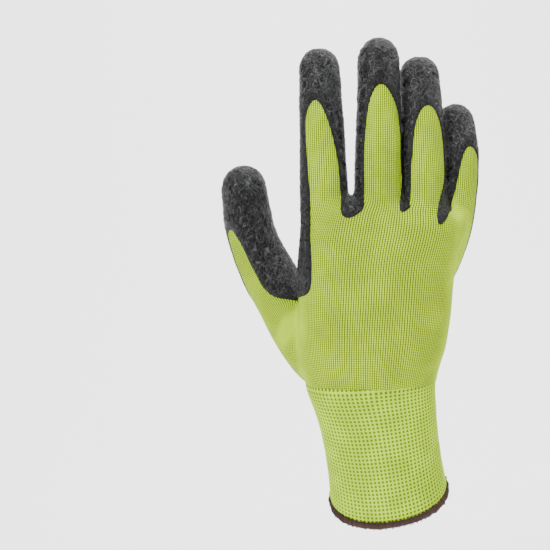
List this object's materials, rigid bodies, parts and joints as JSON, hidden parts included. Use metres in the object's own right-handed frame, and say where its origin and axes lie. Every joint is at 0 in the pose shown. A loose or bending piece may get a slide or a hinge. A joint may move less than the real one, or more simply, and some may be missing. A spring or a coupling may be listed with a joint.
{
  "type": "hi-vis knitted work glove with latex grip coating",
  "caption": "Right-hand knitted work glove in worn form, with a rib cuff and a crinkled latex skin on palm, finger sides and tips.",
  "frame": {"origin": "middle of the wrist opening, in the plane of the hem", "axes": "+Z from the hem towards the finger tips, -Y out of the back of the hand, -X towards the thumb"},
  "size_m": [0.1318, 0.0562, 0.2484],
  "materials": {
    "rib_knit": "matte elastic rib knit, lime yellow",
    "liner_knit": "matte fine knit, lime yellow",
    "grip_latex": "crinkled satin black latex",
    "edging_thread": "matte dark brown overlock thread"
  },
  "bodies": {
    "root": {"rib_cuff": "rib_knit", "hand_knit": "liner_knit", "index_stall": "liner_knit", "middle_stall": "liner_knit", "ring_stall": "liner_knit", "little_stall": "liner_knit", "thumb_stall": "liner_knit", "latex_coating": "grip_latex", "cuff_edging": "edging_thread"}
  },
  "joints": []
}
